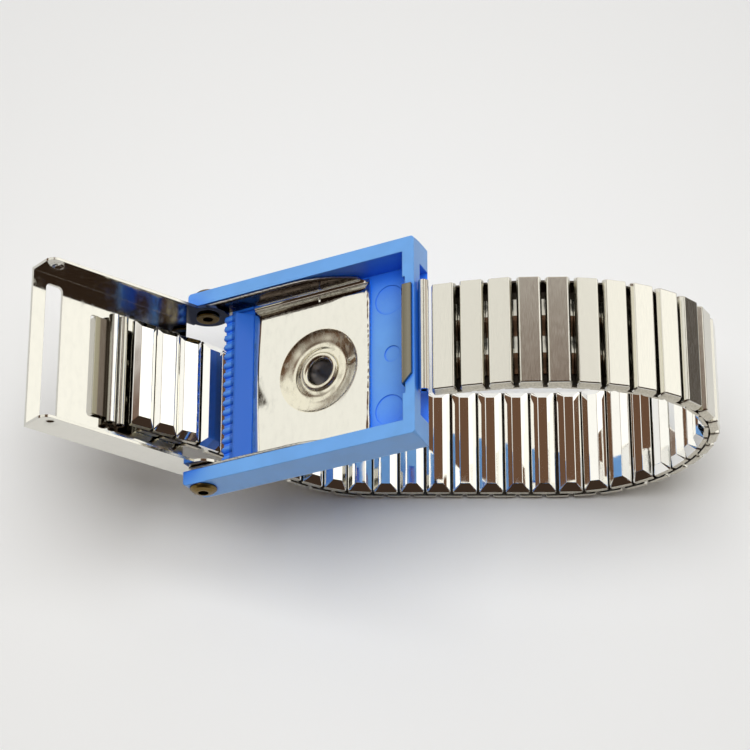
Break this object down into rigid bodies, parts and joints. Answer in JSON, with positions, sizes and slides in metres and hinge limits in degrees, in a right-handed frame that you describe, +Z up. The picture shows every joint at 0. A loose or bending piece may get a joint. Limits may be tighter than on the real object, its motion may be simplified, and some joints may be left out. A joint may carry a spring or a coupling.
{
  "type": "wrist strap",
  "caption": "Expansion band for static grounding: open steel lid hinged on a moulded housing with a contact plate and a press stud.",
  "frame": {"origin": "middle of the bounding box on the surface that the strap lies on", "axes": "+X from the open lid to the far bend of the band, +Y across the band, +Z up"},
  "size_m": [0.09, 0.0294, 0.0379],
  "materials": {
    "blue_plastic": "satin moulded plastic",
    "polished_steel": "polished stainless sheet",
    "brushed_steel": "brushed stainless sheet",
    "link_steel": "brushed outside, polished inside",
    "nickel": "nickel plate",
    "brass": "dull rolled brass"
  },
  "bodies": {
    "housing": {"housing": "blue_plastic", "contact_plate": "polished_steel", "snap_eyelet": "nickel", "snap_stud": "nickel", "hinge_rivets": "brass", "band_anchor": "brushed_steel", "link_28": "link_steel", "link_29": "link_steel", "link_30": "link_steel", "link_31": "link_steel", "link_32": "link_steel", "link_33": "link_steel", "link_34": "link_steel", "link_35": "link_steel"},
    "lid": {"lid": "polished_steel", "tail_hook": "brushed_steel", "tail_link_1": "link_steel", "tail_link_2": "link_steel", "tail_link_3": "link_steel"},
    "band_bend": {"link_07": "link_steel", "link_08": "link_steel", "link_09": "link_steel", "link_10": "link_steel", "link_11": "link_steel", "link_12": "link_steel", "link_13": "link_steel", "link_14": "link_steel", "link_15": "link_steel", "link_16": "link_steel", "link_17": "link_steel", "link_18": "link_steel", "link_19": "link_steel", "link_20": "link_steel"},
    "upper_link_1": {"link_01": "link_steel"},
    "upper_link_2": {"link_02": "link_steel"},
    "upper_link_3": {"link_03": "link_steel"},
    "upper_link_4": {"link_04": "link_steel"},
    "upper_link_5": {"link_05": "link_steel"},
    "upper_link_6": {"link_06": "link_steel"},
    "lower_link_1": {"link_21": "link_steel"},
    "lower_link_2": {"link_22": "link_steel"},
    "lower_link_3": {"link_23": "link_steel"},
    "lower_link_4": {"link_24": "link_steel"},
    "lower_link_5": {"link_25": "link_steel"},
    "lower_link_6": {"link_26": "link_steel"},
    "lower_link_7": {"link_27": "link_steel"}
  },
  "joints": [
    {"name": "lid_hinge", "type": "hinge", "parent": "housing", "child": "lid", "pos_m": [-0.02273, 0, 0.01869], "axis": [0, 1, 0], "range_deg": [-3, 111]},
    {"name": "band_stretch", "type": "slide", "parent": "housing", "child": "band_bend", "axis": [1, 0, 0], "range_m": [0, 0.01238], "stiffness_N_per_m": 250},
    {"name": "stretch_upper_1", "type": "slide", "parent": "housing", "child": "upper_link_1", "axis": [0.9659, 0, 0.2588], "range_m": [0, 0.00181]},
    {"name": "stretch_upper_2", "type": "slide", "parent": "housing", "child": "upper_link_2", "axis": [0.9763, 0, 0.2164], "range_m": [0, 0.00361]},
    {"name": "stretch_upper_3", "type": "slide", "parent": "housing", "child": "upper_link_3", "axis": [0.9848, 0, 0.1736], "range_m": [0, 0.0054]},
    {"name": "stretch_upper_4", "type": "slide", "parent": "housing", "child": "upper_link_4", "axis": [0.9914, 0, 0.1305], "range_m": [0, 0.00718]},
    {"name": "stretch_upper_5", "type": "slide", "parent": "housing", "child": "upper_link_5", "axis": [0.9962, 0, 0.0872], "range_m": [0, 0.00894]},
    {"name": "stretch_upper_6", "type": "slide", "parent": "housing", "child": "upper_link_6", "axis": [0.9992, 0, 0.0408], "range_m": [0, 0.01069]},
    {"name": "stretch_lower_1", "type": "slide", "parent": "housing", "child": "lower_link_1", "axis": [1, 0, 0], "range_m": [0, 0.01084]},
    {"name": "stretch_lower_2", "type": "slide", "parent": "housing", "child": "lower_link_2", "axis": [1, 0, 0], "range_m": [0, 0.00929]},
    {"name": "stretch_lower_3", "type": "slide", "parent": "housing", "child": "lower_link_3", "axis": [1, 0, 0], "range_m": [0, 0.00775]},
    {"name": "stretch_lower_4", "type": "slide", "parent": "housing", "child": "lower_link_4", "axis": [1, 0, 0], "range_m": [0, 0.0062]},
    {"name": "stretch_lower_5", "type": "slide", "parent": "housing", "child": "lower_link_5", "axis": [1, 0, 0], "range_m": [0, 0.00465]},
    {"name": "stretch_lower_6", "type": "slide", "parent": "housing", "child": "lower_link_6", "axis": [1, 0, 0], "range_m": [0, 0.00311]},
    {"name": "stretch_lower_7", "type": "slide", "parent": "housing", "child": "lower_link_7", "axis": [1, 0, 0], "range_m": [0, 0.00156]}
  ],
  "couplings": [
    {"joint": "stretch_upper_1", "follows": "band_stretch", "ratio": 0.14544},
    {"joint": "stretch_upper_2", "follows": "band_stretch", "ratio": 0.2906},
    {"joint": "stretch_upper_3", "follows": "band_stretch", "ratio": 0.43521},
    {"joint": "stretch_upper_4", "follows": "band_stretch", "ratio": 0.57898},
    {"joint": "stretch_upper_5", "follows": "band_stretch", "ratio": 0.72166},
    {"joint": "stretch_upper_6", "follows": "band_stretch", "ratio": 0.8624},
    {"joint": "stretch_lower_1", "follows": "band_stretch", "ratio": 0.875},
    {"joint": "stretch_lower_2", "follows": "band_stretch", "ratio": 0.75},
    {"joint": "stretch_lower_3", "follows": "band_stretch", "ratio": 0.625},
    {"joint": "stretch_lower_4", "follows": "band_stretch", "ratio": 0.5},
    {"joint": "stretch_lower_5", "follows": "band_stretch", "ratio": 0.375},
    {"joint": "stretch_lower_6", "follows": "band_stretch", "ratio": 0.25},
    {"joint": "stretch_lower_7", "follows": "band_stretch", "ratio": 0.125}
  ]
}
